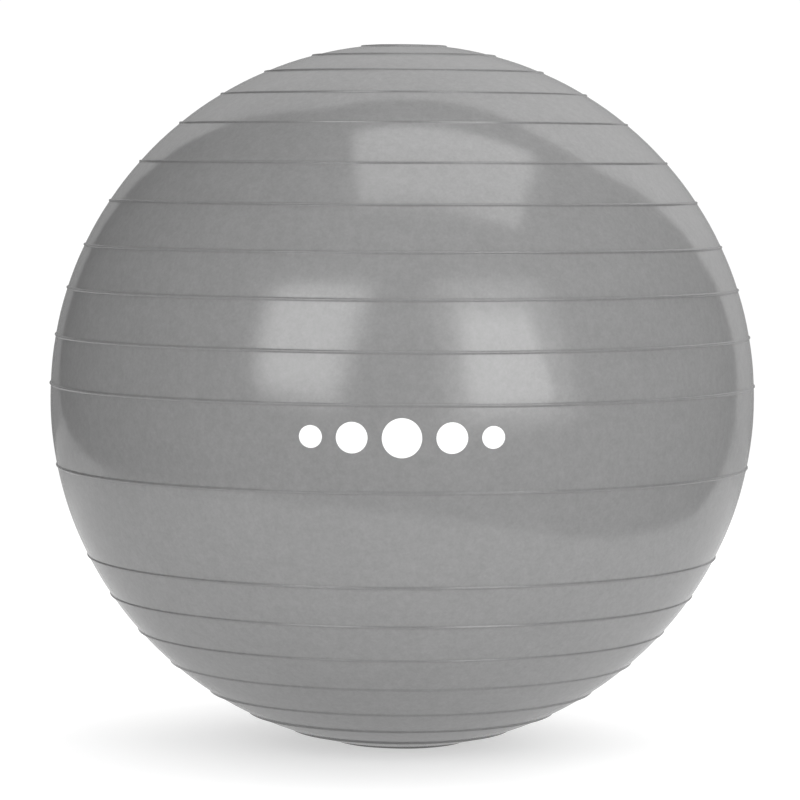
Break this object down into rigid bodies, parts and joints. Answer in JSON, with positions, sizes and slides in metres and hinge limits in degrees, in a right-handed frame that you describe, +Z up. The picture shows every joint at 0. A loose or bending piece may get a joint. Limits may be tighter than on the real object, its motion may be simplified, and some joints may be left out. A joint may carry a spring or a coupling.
{
  "type": "exercise ball",
  "caption": "Ribbed inflatable exercise ball with plain bands round its middle, standing on a small flattened patch, with a valve insert and a pull-out plug at the back.",
  "frame": {"origin": "centre of the flattened patch the ball rests on, at floor level", "axes": "+Z up through both poles of the rib pattern; -Y towards the printed face; +Y towards the valve at the back"},
  "size_m": [0.652, 0.652, 0.6475],
  "materials": {
    "ball_vinyl": "satin",
    "valve_vinyl": "satin",
    "plug_plastic": "satin",
    "print_ink": "satin"
  },
  "bodies": {
    "ball": {"ball_shell": "ball_vinyl", "valve_insert": "valve_vinyl"},
    "plug": {"valve_plug": "plug_plastic"}
  },
  "joints": [
    {"name": "plug_pull", "type": "slide", "parent": "ball", "child": "plug", "axis": [0, 0.997, -0.0776], "range_m": [0, 0.032]}
  ]
}
